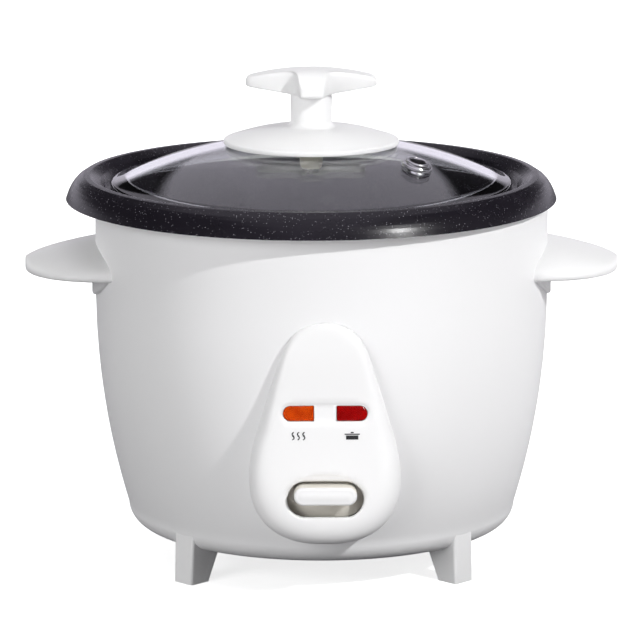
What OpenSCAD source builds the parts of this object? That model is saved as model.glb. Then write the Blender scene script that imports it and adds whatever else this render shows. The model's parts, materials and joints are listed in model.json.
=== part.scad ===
// Small electric rice cooker: painted steel housing with a lift-out non-stick pot, a glass lid,
// a front control panel with a cook lever, and the magnetic thermostat that the lever works.
// Millimetres. +Z is up, the front with the cook lever faces -Y, and the feet stand on z = 0.

/* [Housing] */
// Radius of the straight upper part of the housing
housing_r = 97; // [96:0.5:99]
// Height of the housing's top edge, under the pot's skirt
housing_top_z = 157.5; // [156.5:0.5:158]
// Height of the housing's underside
housing_bottom_z = 14; // [13.5:0.5:14.5]
// Height where the straight wall ends and the long curve inward begins
shoulder_z = 115; // [113:1:118]
// Radius of the wall's long inward curve
belly_r = 322; // [315:1:340]
// Thickness of the housing's sheet steel
sheet_t = 1; // [0.8:0.1:1.2]

/* [Pot and lid] */
// Radius of the pot's skirt at its lower edge
skirt_r = 105; // [104:0.5:107]
// Height of the ridge round the pot's rim
ridge_z = 165.7; // [165:0.1:166.5]
// Distance that the loose pot sits off the housing's axis, along X
pot_shift = -4.4; // [-4.5:0.1:0]
// Radius of the glass lid
glass_r = 86; // [85:0.5:86.5]
// Height of the lid's dome above its edge
dome_rise = 19.5; // [18:0.5:20]

/* [Controls] */
// Distance of the panel's face from the axis, at the lever's height
panel_y = 104; // [103:0.5:105]
// Width of the cook lever's tab
tab_w = 25.8; // [24:0.2:27]
// Greatest angle that the lever turns when the tab is pressed down
lever_travel = 4.5; // [3:0.5:4.5]

/* [Handles and knob] */
// Distance of each side handle's tip from the axis
handle_tip = 127.2; // [124:0.2:130]
// Half the width of a side handle where it meets the housing
handle_half_w = 39; // [36:0.5:40]
// Half the length of the lid knob's grip bar
grip_half_l = 28; // [26:0.5:30]
// Height of the top of the lid knob
knob_top_z = 210.8; // [209:0.2:213]

/* [Hidden] */
$fn = 96;
seam = 0.02;                       // overlap that lets neighbouring cuts pass through a face
white = "whitesmoke";
steel = "silver";
nonstick = [0.11, 0.10, 0.12];
aluminium = [0.78, 0.79, 0.8];
cream = [0.93, 0.91, 0.84];
ceramic = [0.85, 0.82, 0.75];

bottom_corner_r = 9;               // round between the housing's wall and its underside
lip_inner_r = 70;                  // inner edge of the housing's turned-in underside
base_z = housing_bottom_z + sheet_t;
base_t = 1.2;
base_top = base_z + base_t;
floor_z = 42;                      // top of the liner's floor
liner_r = 88.5;                    // inner radius of the liner's wall
liner_t = 0.8;
pot_t = 1.2;
pot_floor_z = 58;                  // underside of the pot
plate_r = 62;                      // heater plate
plate_top = pot_floor_z - 0.3;
pot_wall_r = 82.3;                 // pot's inner radius at the top of its wall
ledge_z = 160;                     // ledge in the pot's rim that carries the lid
glass_t = 4;
glass_edge_z = ledge_z + 0.3;      // lower edge of the glass
dome_top = glass_edge_z + 1.2 + dome_rise;
dome_r = (glass_r * glass_r + dome_rise * dome_rise) / (2 * dome_rise);
glass_foot_r = sqrt(pow(dome_r, 2) - pow(dome_r - dome_top + glass_t + glass_edge_z, 2));
disc_r = 37.5;                     // knob's base disc
stem_r = 8.9;
stem_top = 200.2;
gasket_t = 0.6;
vent_at = [43.7, -34];             // steam vent, from the lid's axis
vent_tube_r = 4.1;
pivot_y = -36;                     // cook lever's pivot
pivot_z = 30;
pin_r = 2;
slot_z = 47.1;                     // middle of the lever's slot in the panel
slot_half_h = 7.4;
slot_half_w = 15.7;
tab_z = 49.3;
tab_front_y = 108.5;
tab_h = 7.5;
lamp_z = 82.8;
lamp_gap = 9.6;                    // between the two lenses
lens_w = 12.4;
lens_h = 6;
foot_r = 84.2;                     // outer face of each foot, from the axis
foot_half_w = 5.6;
foot_screw_r = 78.8;
inlet_z = 40;
inlet_face_y = 107.5;
inlet_screw_x = 18.5;
handle_z = 125;                    // underside of the side handles
handle_screw_turn = 13;            // angle of the handle's screws either side of its middle
handle_screw_z = 129;
panel_screw_turn = 12.5;           // angle of the panel's screws either side of its middle
panel_screw_z = 62;

// ---- Profiles and helpers ----

// Points of an arc about c from angle a0 to a1.
function arc(c, r, a0, a1, n = 10) = [
    for (i = [0:n]) let (a = a0 + (a1 - a0) * i / n) c + r * [cos(a), sin(a)]
];

function unit(v) = v / norm(v);

// A path moved t to the left of its own direction, which turns a sheet's outer line into its inner one.
function beside(path, t) = [
    for (i = [0:len(path) - 1])
        let (
            before = path[max(0, i - 1)],
            after = path[min(len(path) - 1, i + 1)],
            d = unit(after - before)
        ) path[i] + t * [-d[1], d[0]]
];

function reversed(list) = [for (i = [len(list) - 1:-1:0]) list[i]];

// A sheet-metal shell of revolution: the path is its outer line, and the sheet lies to the left of it.
module spun_sheet(path, t) {
    rotate_extrude() polygon(concat(path, reversed(beside(path, t))));
}

// Outer radius of the housing's wall at height z, above its bottom corner.
function wall_r(z) =
    housing_r - (z >= shoulder_z ? 0 : belly_r - sqrt(pow(belly_r, 2) - pow(shoulder_z - z, 2)));

corner_z = housing_bottom_z + bottom_corner_r;

// The housing's outer line, from the inner edge of its underside up to its turned-in top edge.
function housing_line() = concat(
    [[lip_inner_r, housing_bottom_z]],
    arc([wall_r(corner_z) - bottom_corner_r, corner_z], bottom_corner_r, -90, -8, 10),
    [for (i = [0:16]) let (z = corner_z + (shoulder_z - corner_z) * i / 16) [wall_r(z), z]],
    arc([housing_r - 2, housing_top_z - 2], 2, 0, 90, 6),
    [[housing_r - 5.5, housing_top_z]]
);

// The solid space inside the housing's outer line, for cutting parts to the housing's surface.
module housing_envelope(grow = 0) {
    rotate_extrude() polygon(concat(
        [[0, housing_bottom_z - grow]],
        [for (p = housing_line())
            p + grow * [p[0] > lip_inner_r ? 1 : 0, p[1] <= housing_bottom_z ? -1 : 0]],
        [[0, housing_top_z]]
    ));
}

// A slot with round ends: length l and height h, along X.
module stadium(l, h) {
    square([l - h, h], center = true);
    for (side = [-1, 1]) translate([side * (l - h) / 2, 0]) circle(d = h);
}

// Extrudes a drawing of x and z along -Y, from y to y - depth.
module forward(y, depth) {
    translate([0, y, 0]) rotate([90, 0, 0]) linear_extrude(depth) children();
}

module at_pot() { translate([pot_shift, 0, 0]) children(); }

// A tube of radius r swept along a route of points, as one closed polyhedron.
function along(route, i) = unit(route[min(len(route) - 1, i + 1)] - route[max(0, i - 1)]);
function side_of(d) = unit(cross(d, abs(d[2]) > 0.95 ? [1, 0, 0] : [0, 0, 1]));
module tube(route, r, sides = 8) {
    n = len(route);
    points = [for (i = [0:n - 1])
        let (d = along(route, i), u = side_of(d), v = cross(u, d))
            for (k = [0:sides - 1]) route[i] + r * (cos(360 * k / sides) * u + sin(360 * k / sides) * v)];
    walls = [for (i = [0:n - 2]) for (k = [0:sides - 1])
        let (a = i * sides + k, b = i * sides + (k + 1) % sides) [a, b, b + sides, a + sides]];
    first = [for (k = [sides - 1:-1:0]) k];
    last = [for (k = [0:sides - 1]) (n - 1) * sides + k];
    polyhedron(points, concat(walls, [first, last]));
}

// Points of a quadratic curve through a bend.
function bend(a, b, c, n = 6) = [
    for (i = [0:n]) let (t = i / n) pow(1 - t, 2) * a + 2 * t * (1 - t) * b + t * t * c
];

// A compression spring standing on z0, with turns of wire radius w about radius r.
module coil_spring(r, w, z0, z1, turns) {
    steps = turns * 14;
    tube([for (i = [0:steps]) let (a = 360 * turns * i / steps)
        [r * cos(a), r * sin(a), z0 + w + (z1 - z0 - 2 * w) * i / steps]], w, 6);
}

// A pan-head screw along +Z with its head's underside at z = 0, and a cross recess in the head.
module screw(shank_r, length, head_r, head_h) {
    difference() {
        union() {
            cylinder(r = shank_r, h = length);
            translate([0, 0, -head_h]) cylinder(r1 = head_r * 0.8, r2 = head_r, h = head_h);
        }
        for (turn = [0, 90]) rotate(turn)
            translate([0, 0, -head_h]) cube([head_r * 1.1, head_r * 0.26, head_h], center = true);
    }
}

// ---- Housing, liner and base ----

module outer_housing() {
    color(white) difference() {
        spun_sheet(housing_line(), sheet_t);
        forward(-60, 60) translate([0, 43]) square([30, 26], center = true);        // cook lever
        forward(-60, 60) translate([0, lamp_z]) square([37, 13], center = true);    // lamps
        forward(130, 60) translate([0, inlet_z]) square([29, 21], center = true);   // power inlet
        for (side = [-1, 1])
            forward(130, 60) translate([side * inlet_screw_x, inlet_z]) circle(r = 1.65, $fn = 32);
        at_panel_screws() cylinder(r = 2, h = 120, $fn = 32);
        at_handle_screws() cylinder(r = 2.2, h = 120, $fn = 32);
        at_foot_screws() cylinder(r = 2.2, h = 30, $fn = 32);
    }
}

// Each of these puts a screw's drawing at every screw of its kind. Its z is the distance from the axis.
module outward(turn, z) {
    rotate(turn) translate([0, 0, z]) rotate([0, 90, 0]) children();
}

module at_panel_screws() {
    for (side = [-1, 1]) outward(-90 + side * panel_screw_turn, panel_screw_z) children();
}

module at_handle_screws() {
    for (turn = [0, 180]) for (end = [-1, 1])
        outward(turn + end * handle_screw_turn, handle_screw_z) children();
}

module at_foot_screws() {
    for (turn = [45:90:315]) rotate(turn) translate([foot_screw_r, 0, 0]) children();
}

module at_heater_screws() {
    for (turn = [90:120:330]) rotate(turn) translate([50, 0, 0]) children();
}

// The heating element's two ends come down through the liner on the left.
module at_terminals() {
    for (turn = [-15, 15]) rotate(180 + turn) translate([element_r, 0, 0]) children();
}

module at_rivets() {
    for (side = [-1, 1]) for (end = [-1, 1])
        translate([side * 15.5, pivot_y + end * 10, 0]) children();
}

// The aluminised steel cup that the pot stands in. It hangs from the housing's top edge.
module inner_liner() {
    color(steel) difference() {
        spun_sheet(concat(
            [[14.2, floor_z - liner_t]],
            arc([76, floor_z - liner_t + 6], 6, -90, -15, 6),
            [[85.5, 55]],
            arc([liner_r + liner_t - 12, 74], 12, -8, 0, 3),
            [[liner_r + liner_t, housing_top_z - sheet_t - 2.2]],
            arc([liner_r + liner_t + 1.2, housing_top_z - sheet_t - 2.2], 1.2, 180, 110, 4),
            [[housing_r - 3, housing_top_z - sheet_t - 0.85]]
        ), liner_t);
        at_heater_screws() cylinder(r = 2.2, h = 50, $fn = 32);
        at_terminals() cylinder(r = 4.4, h = 50, $fn = 32);
    }
}

// The vented underside. Its upturned edge rests in the housing's round corner.
module base_plate() {
    corner = [wall_r(corner_z) - bottom_corner_r, corner_z];
    color(white) difference() {
        rotate_extrude() polygon(concat(
            [[0, base_z]],
            arc(corner, bottom_corner_r - sheet_t, -90, -50, 5),
            arc(corner, bottom_corner_r - sheet_t - base_t, -50, -90, 5),
            [[0, base_top]]
        ));
        for (turn = [0:15:345]) rotate(turn)
            if (abs(turn % 90 - 45) > 8) translate([57, 0]) linear_extrude(40) stadium(16, 3.2);
        for (turn = [-60:30:240]) rotate(turn) translate([31, 0]) linear_extrude(40) stadium(12, 3.2);
        at_foot_screws() cylinder(r = 1.95, h = 30, $fn = 32);
        at_rivets() cylinder(r = 1.6, h = 30, $fn = 24);
    }
}

// One moulded leg, tapered to its tread, cut to fit under the housing's round corner.
module foot(turn) {
    color(white) difference() {
        rotate(turn) hull() for (side = [-1, 1]) {
            foot_edge(foot_r - 1, side * foot_half_w, 20, 3);
            foot_edge(foot_r - 20, side * foot_half_w, 20, 3);
            foot_edge(foot_r, side * (foot_half_w - 0.3), 0, 1);
            foot_edge(foot_r - 10.8, side * (foot_half_w - 0.3), 0, 1);
        }
        housing_envelope();
        at_foot_screws() translate([0, 0, -seam]) cylinder(r = 2.2, h = 30, $fn = 32);
        at_foot_screws() translate([0, 0, -seam]) cylinder(r = 3.8, h = 5 + seam, $fn = 32);
    }
}

// A rounded upright edge whose outer faces are at the distance x from the axis and y from the middle.
module foot_edge(x, y, z, h) {
    r = 1.2;
    translate([x - r * sign(x - foot_r + 5), y - r * sign(y), z]) cylinder(r = r, h = h, $fn = 32);
}

module foot_screws() {
    color(steel) at_foot_screws() translate([0, 0, 5]) screw(1.9, 15.5, 3.5, 2.2);
}

// ---- Side handles ----

// Height of the handle's domed top at a share of the way from the housing (0) to the tip (1).
function handle_top(share) = 12.4 - 7.6 * pow(share, 1.1);
function handle_x(share) = 86 + (handle_tip - 86) * share;
function handle_w(share) = handle_half_w * pow(1 - pow(share, 2.3), 0.5) + 0.01;

module handle_wing() {
    hull() for (i = [0:9]) let (share = sin(10 * i)) translate([handle_x(share) - 0.5, 0, handle_z])
        rotate([90, 0, 90]) linear_extrude(0.5) polygon(concat(
            [for (k = [0:12]) let (a = 180 * k / 12)
                [handle_w(share) * cos(a), 1.5 + (handle_top(share) - 1.5) * sin(a)]],
            [[-handle_w(share) * 0.97, 0], [handle_w(share) * 0.97, 0]]
        ));
}

module handle(side) {
    color(white) difference() {
        union() {
            mirror([side < 0 ? 1 : 0, 0, 0]) difference() {
                handle_wing();
                translate([0, 0, handle_z - seam]) linear_extrude(2.6) intersection() {
                    translate([90, 0]) circle(r = 31);
                    translate([102, -25]) square([30, 50]);
                }
            }
            // the plate below the wing, which follows the housing's wall
            intersection() {
                housing_envelope(1.6);
                translate([side * 60, 0, handle_z + 55]) rotate([0, side * 90, 0]) cylinder(r = 66, h = 50);
                translate([side * 95, 0, 118]) cube([50, 78, 18], center = true);
            }
        }
        housing_envelope();
        at_handle_screws() cylinder(r = 1.95, h = housing_r + 8.5, $fn = 32);
    }
}

module handle_screws() {
    color(steel) at_handle_screws() translate([0, 0, housing_r - sheet_t - 0.1]) screw(1.9, 9, 3.6, 2.2);
}

// ---- Control panel ----

// Egg-shaped outline of the panel, in x and z, drawn in by inset.
function panel_close(a) = a > 0 ? sqrt(max(0, 1 - pow(sin(a), 10))) : pow(max(0, cos(a)), 0.85);
function panel_half_w(a) = 28 * panel_close(a) * (1 - 0.5 * sin(a));
function panel_outline(inset = 0) = [
    for (i = [0:71]) let (
        t = 5 * i,
        a = t <= 180 ? t - 90 : 270 - t,
        shrink = 1 - inset / 34
    ) [(t <= 180 ? 1 : -1) * panel_half_w(a) * shrink, 73.8 + (46.4 - inset) * sin(a)]
];

panel_tilt = 5;                    // the face leans out towards its lower end
panel_round = 9;                   // round between the face and the sides

// Places a drawing on the panel's face, with y = 0 as the face itself.
module on_panel() {
    translate([0, -panel_y, slot_z]) rotate([-panel_tilt, 0, 0]) translate([0, 0, -slot_z]) children();
}

// The panel's form, filled: a flat face with a round border, drawn in by inset to make its hollow.
module panel_form(inset = 0) {
    on_panel() hull() for (a = [0:18:90])
        forward(40, 40 - inset - panel_round * (1 - sin(a)))
            polygon(panel_outline(inset + panel_round * 0.8 * (1 - cos(a))));
}

module lens_shape(side, play = 0) {
    translate([side * (lamp_gap + lens_w) / 2, lamp_z]) {
        translate([side * (lens_w - lens_h) / 2, 0]) circle(d = lens_h + 2 * play, $fn = 48);
        translate([-side * lens_h / 4, 0])
            square([lens_w - lens_h / 2 + 2 * play, lens_h + 2 * play], center = true);
    }
}

module control_panel() {
    color(white) difference() {
        union() {
            difference() {
                panel_form();
                panel_form(2.4);
            }
            intersection() {
                panel_form(0.5);
                at_panel_screws() cylinder(r = 4.2, h = 120, $fn = 40);
            }
        }
        housing_envelope();
        translate([0, -60, 60]) cube([90, 30, 160], center = true);
        on_panel() {
            for (side = [-1, 1]) forward(10, 12) lens_shape(side, 0.1);
            forward(0.6, 2) translate([0, lamp_z])
                stadium(2 * lens_w + lamp_gap + 2.6, lens_h + 2.6);
            forward(1, 3) translate([0, slot_z + 0.8])
                stadium(2 * slot_half_w + 2, 2 * slot_half_h + 2.6);
        }
        forward(-92, 30) translate([0, slot_z]) stadium(2 * slot_half_w, 2 * slot_half_h);
        at_panel_screws() cylinder(r = 1.65, h = 97, $fn = 32);
    }
}

module panel_screws() {
    color(steel) at_panel_screws()
        translate([0, 0, wall_r(panel_screw_z) - sheet_t - 0.6]) screw(1.6, 5.5, 3.2, 1.9);
}

// A lens: its face stands just behind the panel's, with a flange behind the panel's wall.
module lens(side) {
    on_panel() {
        forward(3, 2.5) lens_shape(side);
        forward(4, 1.5) translate([side * (lamp_gap + lens_w) / 2, lamp_z])
            square([lens_w - 1, lens_h + 3], center = true);
    }
}

module warm_lens() { color("darkorange", 0.85) lens(-1); }

module cook_lens() { color("firebrick", 0.85) lens(1); }

// A tray behind the lenses, with a hole for each lamp in its back.
module lamp_holder() {
    color(white) on_panel() translate([0, 0, lamp_z]) difference() {
        translate([-17.5, 4.05, -5]) cube([35, 6.4, 10]);
        for (side = [-1, 1]) {
            translate([side * 8.6 - 8, 4, -4]) cube([16, 5.2, 8]);
            translate([side * (lamp_gap + lens_w) / 2, 0, 0]) rotate([-90, 0, 0])
                cylinder(r = 2.1, h = 20, $fn = 32);
        }
    }
}

module neon_lamps() {
    color(ceramic) on_panel() for (side = [-1, 1])
        translate([side * (lamp_gap + lens_w) / 2, 10.45, lamp_z])
            rotate([90, 0, 0]) rotate_extrude() polygon(concat(
                [[0, 0], [2, 0], [2, 3.4]],
                arc([0, 3.4], 2, 10, 90, 6)
            ));
}

// Small printed symbols under the lenses: rising steam for keep-warm, a lidded pot for cook.
symbol_z = 73.6;

module printed() {
    color("black") on_panel() forward(0, 0.12) children();
}

module warm_symbol() {
    printed() for (k = [-1:1])
        translate([-(lamp_gap + lens_w) / 2 + 2.2 * k, symbol_z]) {
            for (turn = [0, 180]) rotate(turn) translate([0.35, 0.75]) difference() {
                circle(r = 0.95, $fn = 24);
                circle(r = 0.5, $fn = 24);
                translate([0, -2]) square([2, 4]);
            }
        }
}

module cook_symbol() {
    printed() translate([(lamp_gap + lens_w) / 2, symbol_z]) {
        translate([0, -0.65]) square([5, 1.7], center = true);
        translate([0, 0.7]) square([6.2, 0.45], center = true);
        translate([0, 1.4]) square([1.2, 0.5], center = true);
    }
}

// ---- Heater ----

element_r = 42;
element_wire = 3.4;
element_z = 48;
terminal_z = 33.5;

module heater_plate() {
    color(aluminium) difference() {
        union() {
            rotate_extrude() polygon(concat(
                [[16, plate_top - 6], [plate_r - 4, plate_top - 6]],
                arc([plate_r - 3, plate_top - 3], 3, -60, 70, 8),
                [[16, plate_top]]
            ));
            rotate_extrude() translate([element_r, element_z]) square([12, 8.2], center = true);
            at_heater_screws() translate([0, 0, floor_z])
                cylinder(r = 4.5, h = plate_top - 3 - floor_z, $fn = 40);
        }
        rotate_extrude() translate([element_r, element_z]) circle(r = element_wire, $fn = 48);
        at_heater_screws() translate([0, 0, floor_z - 1]) cylinder(r = 1.95, h = 10, $fn = 32);
        at_terminals() translate([0, 0, floor_z]) cylinder(r = 3.6, h = 6, $fn = 32);
    }
}

module heating_element() {
    color("dimgray") {
        rotate(-165) rotate_extrude(angle = 330) translate([element_r, element_z])
            circle(r = element_wire, $fn = 48);
        at_terminals() translate([0, 0, 37.5]) cylinder(r = 3, h = element_z - 37.5, $fn = 32);
    }
}

module heater_screws() {
    color(steel) at_heater_screws() translate([0, 0, floor_z - liner_t]) screw(1.9, 7, 3.6, 2);
}

module heater_terminals() {
    color("gold") at_terminals() translate([0, 0, terminal_z]) linear_extrude(4) difference() {
        square([4, 6], center = true);
        circle(r = wire_r + 0.05, $fn = 24);
    }
}

// ---- Magnetic thermostat, on the axis ----

shelf_z = 42;

module thermostat_guide() {
    color(steel) rotate_extrude() polygon([
        [13.2, 36], [14, 36], [14, floor_z - liner_t - 1],
        [20, floor_z - liner_t - 1], [20, floor_z - liner_t], [14, floor_z - liner_t],
        [14, 54], [13.2, 54], [13.2, shelf_z + 0.8], [9.6, shelf_z + 0.8], [9.6, shelf_z], [13.2, shelf_z]
    ]);
}

module sensor_cap() {
    color(aluminium) rotate_extrude() polygon(concat(
        [[0, plate_top - 1.2], [11.8, plate_top - 1.2], [11.8, 48], [12.7, 48]],
        arc([11.7, plate_top - 1], 1, 0, 90, 5),
        [[0, plate_top]]
    ));
}

module sensor_ferrite() {
    color("dimgray") {
        translate([0, 0, 45.2]) cylinder(r = 8.8, h = 5);
        translate([0, 0, 50]) cylinder(r = 2, h = plate_top - 1.2 - 50, $fn = 32);
    }
}

module sensor_spring() {
    color(steel) coil_spring(10.3, 0.5, shelf_z + 0.8, plate_top - 1.2, 4);
}

module magnet_cup() {
    color(steel) difference() {
        rotate_extrude() polygon([
            [0, 25], [2.4, 25], [2.4, 26], [5, 26], [5, 27.4], [2.4, 27.4], [2.4, 32], [5, 32],
            [5, 33.2], [2.4, 33.2], [2.4, 35], [12.4, 35], [12.4, 35.8], [9, 35.8], [9, 39.2], [0, 39.2]
        ]);
        translate([0, 0, 36.4]) cylinder(r = 8, h = 5);
    }
}

module magnet() {
    color("gray") translate([0, 0, 36.4]) cylinder(r = 7.95, h = 3.4);
}

module magnet_spring() {
    color(steel) coil_spring(10.6, 0.4, 35.8, shelf_z, 3);
}

// ---- Cook lever and switch ----

module lever_bracket() {
    color(steel) difference() {
        union() {
            translate([-19, pivot_y - 14, base_top]) cube([38, 28, 1.2]);
            for (side = [-1, 1]) translate([side * 11.6 - 0.6, pivot_y - 6, base_top])
                cube([1.2, 12, pivot_z + 5 - base_top]);
        }
        translate([-30, pivot_y, pivot_z]) rotate([0, 90, 0]) cylinder(r = pin_r + 0.03, h = 60, $fn = 48);
        at_rivets() cylinder(r = 1.6, h = 30, $fn = 24);
    }
}

module bracket_rivets() {
    color(steel) at_rivets() {
        translate([0, 0, base_z - 0.8]) cylinder(r = 2.6, h = 0.8, $fn = 32);
        translate([0, 0, base_z - 0.8]) cylinder(r = 1.5, h = base_t + 2.2, $fn = 24);
        translate([0, 0, base_top + 1.2]) cylinder(r = 2.4, h = 0.8, $fn = 32);
    }
}

module lever_pin() {
    color(steel) translate([-14, pivot_y, pivot_z]) rotate([0, 90, 0]) {
        cylinder(r = pin_r, h = 28, $fn = 48);
        translate([0, 0, -1]) cylinder(r = 3, h = 1, $fn = 48);
        translate([0, 0, 28]) cylinder(r = 3, h = 1, $fn = 48);
    }
}

// The steel strip's side view: flat under the thermostat, rising to the tab at the front.
lever_line = [[7, pivot_z], [-48, pivot_z], [-83, 36], [-92.5, 47.4], [-100, 49.3]];
lever_half_w = 8;

module cook_lever() {
    color(steel) difference() {
        union() {
            translate([-lever_half_w, 0, 0]) rotate([90, 0, 90]) linear_extrude(2 * lever_half_w)
                polygon(concat(beside(lever_line, 1), reversed(beside(lever_line, -1))));
            for (side = [-1, 1]) translate([side * 9.2 - 0.6, pivot_y, pivot_z]) rotate([0, 90, 0])
                cylinder(r = 4.6, h = 1.2, $fn = 48);
            for (side = [-1, 1]) translate([side * 8.6 - 1.2, pivot_y - 3, pivot_z - 1]) cube([2.4, 6, 2]);
            translate([lever_half_w - 1, -70, 32.2]) cube([11, 8, 1.4]);        // tongue over the switch
        }
        translate([-30, pivot_y, pivot_z]) rotate([0, 90, 0]) cylinder(r = pin_r + 0.06, h = 60, $fn = 48);
        translate([-6.2, pivot_y - 5, pivot_z - 5]) cube([12.4, 10, 10]);
        translate([0, 0, 20]) cylinder(r = 3.2, h = 20, $fn = 48);                  // fork round the stem
        translate([-3.2, 0, 20]) cube([6.4, 20, 20]);
    }
}

// The tab's shield, which closes the panel's slot from behind at both ends of the travel.
shield_w = 32.6;
shield_h = 23;
shield_y = 96.3;
shield_z = 49.7;
shield_corner_r = 6;

module shield_outline() {
    straight_w = shield_w - 2 * shield_corner_r;
    straight_h = shield_h - 2 * shield_corner_r;
    square([straight_w, shield_h], center = true);
    square([shield_w, straight_h], center = true);
    for (x = [-1, 1], z = [-1, 1])
        translate([x * straight_w / 2, z * straight_h / 2]) circle(r = shield_corner_r, $fn = 32);
}

module lever_tab() {
    color(white) difference() {
        union() {
            forward(-97, tab_front_y - 97) translate([0, tab_z]) stadium(tab_w, tab_h);
            forward(-94.5, 5) translate([0, tab_z]) square([18, 5.4], center = true);
            forward(-shield_y, 1.2) translate([0, shield_z]) shield_outline();
        }
        translate([-lever_half_w - 0.05, 0, 0]) rotate([90, 0, 90]) linear_extrude(2 * lever_half_w + 0.1)
            polygon(concat(beside(lever_line, 1.05), reversed(beside(lever_line, -1.05))));
    }
}

switch_x = 15.5;
switch_y = -66;
contact_ys = [-70, -65, -59];
contact_z = base_top + 5;
contact_tip_x = switch_x + 8;

module switch_body() {
    color("dimgray") difference() {
        translate([switch_x - 3.2, switch_y - 6, base_top]) cube([6.4, 15, 11]);
        translate([switch_x, switch_y, base_top + 3]) cylinder(r = 1.58, h = 10, $fn = 32);
    }
}

module switch_button() {
    color("firebrick") translate([switch_x, switch_y, base_top + 6.8])
        cylinder(r = 1.5, h = 31.8 - base_top - 6.8, $fn = 32);
}

module switch_contacts() {
    color("gold") for (y = contact_ys)
        translate([switch_x + 3.2, y - 0.4, contact_z - 2]) cube([contact_tip_x - switch_x - 3.2, 0.8, 4]);
}

module keep_warm_thermostat() {
    color(ceramic) translate([38, 14, floor_z - liner_t - 6.5]) {
        cylinder(r = 8, h = 6.4);
        for (side = [-1, 1]) translate([side * 10 - 2.5, -2, 2]) cube([5, 4, 0.8]);
    }
}

module thermal_fuse() {
    color("gainsboro") translate([0, 34, 36.5]) rotate([0, 90, 0]) {
        translate([0, 0, -8]) cylinder(r = 2.2, h = 16, $fn = 32);
        translate([0, 0, -14]) cylinder(r = 0.6, h = 28, $fn = 16);
    }
}

module fuse_clamp() {
    color(steel) translate([0, 34, 0]) difference() {
        translate([-3, -3.6, 34]) cube([6, 7.2, floor_z - liner_t - 34]);
        translate([-5, 0, 36.5]) rotate([0, 90, 0]) cylinder(r = 2.3, h = 10, $fn = 32);
    }
}

// ---- Power inlet at the rear ----

module inlet_socket() {
    color("black") difference() {
        union() {
            forward(inlet_face_y, 21) translate([0, inlet_z]) square([28.6, 20.6], center = true);
            difference() {
                forward(inlet_face_y, 30) translate([0, inlet_z]) stadium(48, 25);
                housing_envelope();
            }
        }
        forward(inlet_face_y + seam, 17) translate([0, inlet_z]) square([24.4, 16.4], center = true);
        forward(inlet_face_y, 30) inlet_pin_shapes(0.05);
        for (side = [-1, 1]) {
            forward(120, 40) translate([side * inlet_screw_x, inlet_z]) circle(r = 1.7, $fn = 32);
            forward(inlet_face_y + seam, 9 + seam) translate([side * inlet_screw_x, inlet_z])
                circle(r = 3.4, $fn = 32);
        }
    }
}

// The three contacts' cross-sections: the earth contact is the middle one and stands higher.
module inlet_pin_shapes(play = 0) {
    for (x = [-7, 0, 7])
        translate([x, inlet_z + (x == 0 ? 2 : -2)]) square([2 + 2 * play, 4 + 2 * play], center = true);
}

module inlet_pins() {
    color(steel) forward(inlet_face_y - 3, 21.5) inlet_pin_shapes();
}

module inlet_screws() {
    color(steel) for (side = [-1, 1])
        translate([side * inlet_screw_x, inlet_face_y - 9, inlet_z]) rotate([90, 0, 0])
            screw(1.6, 14.5, 3.1, 2);
}

// Insulated wires: inlet to element, inlet to switch, switch to element, and one from each lamp.
wire_r = 1;
function contact_end(k) = [
    [contact_tip_x + seam, contact_ys[k], contact_z],
    [contact_tip_x + 5, contact_ys[k], contact_z]
];
function terminal_end(side) = [
    [-44, side * 11, 24],
    [-element_r * cos(15), side * element_r * sin(15), terminal_z - 3.5],
    [-element_r * cos(15), side * element_r * sin(15), terminal_z + 3.5]
];
function lamp_end(side) = [
    [side * 11, -91, lamp_z - 6.2],
    [side * 11, -91, 72],
    [side * 12, -88.5, 56],
    [side * 14, -84.6, 48]
];
wire_routes = [
    concat([[-7, 83, 38], [-7, 76, 36], [-16, 66, 26], [-42, 42, 19], [-52, 22, 20]], terminal_end(1)),
    concat([[7, 83, 38], [7, 76, 36], [18, 66, 26], [46, 40, 19], [58, 0, 19], [50, -40, 19], [40, -60, 19]],
        reversed(contact_end(0))),
    concat(contact_end(2), [[31, -54.5, 20.5], [22, -53, 20], [0, -53.5, 20], [-30, -48, 19], [-48, -24, 20]],
        terminal_end(-1)),
    concat(lamp_end(-1), [[-20, -76, 32], [-21, -62, 21], [-15, -50.75, 19.5]]),
    concat(lamp_end(1), [[24, -76, 32], [31, -68, 24]], reversed(contact_end(1)))
];

module wiring() {
    color("lightgray") for (route = wire_routes) {
        n = len(route);
        middles = [for (i = [0:n - 2]) (route[i] + route[i + 1]) / 2];
        tube(concat(
            [route[0]],
            [for (i = [1:n - 2])
                for (p = bend(middles[i - 1], route[i], middles[i], 5)) if (p != middles[i]) p],
            [middles[n - 2], route[n - 1]]
        ), wire_r);
    }
}

// ---- Pot ----

// The pot's upper and inner line, from its centre out over the rim to the skirt's edge.
ridge_r = skirt_r - 8.8;
skirt_z = ridge_z - 10.4;          // lower edge of the skirt
skirt_angle = atan2(ridge_z - skirt_z - 0.4, skirt_r - ridge_r);
function pot_line() = concat(
    [[0, pot_floor_z + pot_t]],
    arc([pot_wall_r - 15.6, pot_floor_z + pot_t + 14], 14, -90, -1, 12),
    [[pot_wall_r, ledge_z - 2]],
    arc([pot_wall_r + 2, ledge_z - 2], 2, 180, 90, 5),
    arc([88.2, ledge_z + 1.2], 1.2, -90, -20, 4),
    arc([91.6, ledge_z + 2.6], 1.8, 160, 110, 5),
    arc([ridge_r - 0.8, ridge_z - 1.2], 1.2, 102, 90 - skirt_angle, 5),
    [[skirt_r, skirt_z]]
);

module inner_pot() {
    color(nonstick) at_pot() spun_sheet(reversed(pot_line()), pot_t);
}

// ---- Lid ----

// Height of the glass dome's upper surface at radius r from the lid's axis.
function dome_z(r) = dome_top - (dome_r - sqrt(dome_r * dome_r - r * r));

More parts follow.
